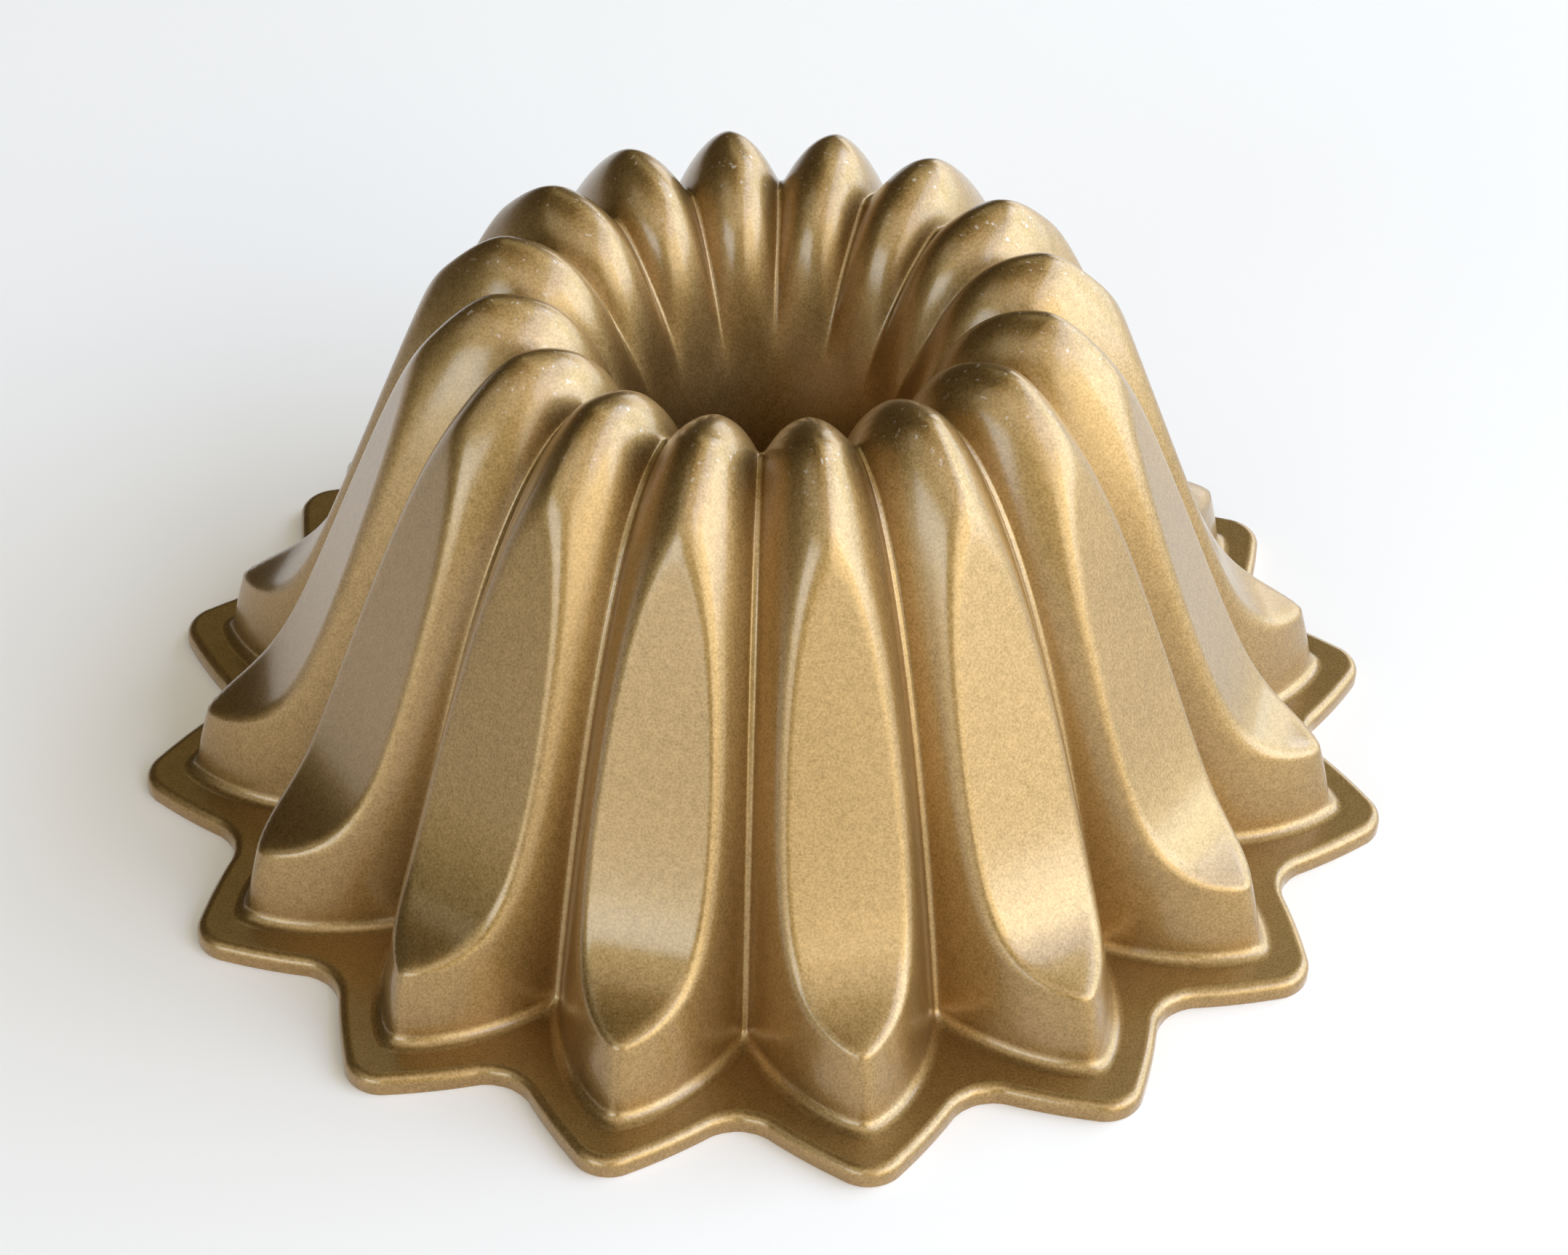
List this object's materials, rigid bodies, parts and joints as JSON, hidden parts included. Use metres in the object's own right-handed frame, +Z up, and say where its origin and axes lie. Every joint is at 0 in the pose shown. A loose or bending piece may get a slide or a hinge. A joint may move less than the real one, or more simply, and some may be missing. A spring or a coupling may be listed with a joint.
{
  "type": "ring cake mould",
  "caption": "Fluted ring-cake mould in cast metal: star-shaped rim flange, faceted petals that arch over into a funnel with an open centre tube; stands upside down on its rim.",
  "frame": {"origin": "on the mould's axis, in the plane of the rim flange's flat underside", "axes": "+Z up along the mould's axis, from the rim to the crests; a valley between two petals lies on +X and another on -Y, which faces the picture's camera"},
  "size_m": [0.2118, 0.2118, 0.0946],
  "materials": {
    "gold_coat": "satin gold-bronze coat with a fine grain on cast aluminium"
  },
  "bodies": {
    "root": {"rim_flange": "gold_coat", "centre_tube": "gold_coat", "petal_01": "gold_coat", "petal_02": "gold_coat", "petal_03": "gold_coat", "petal_04": "gold_coat", "petal_05": "gold_coat", "petal_06": "gold_coat", "petal_07": "gold_coat", "petal_08": "gold_coat", "petal_09": "gold_coat", "petal_10": "gold_coat", "petal_11": "gold_coat", "petal_12": "gold_coat", "petal_13": "gold_coat", "petal_14": "gold_coat", "petal_15": "gold_coat", "petal_16": "gold_coat"}
  },
  "joints": []
}
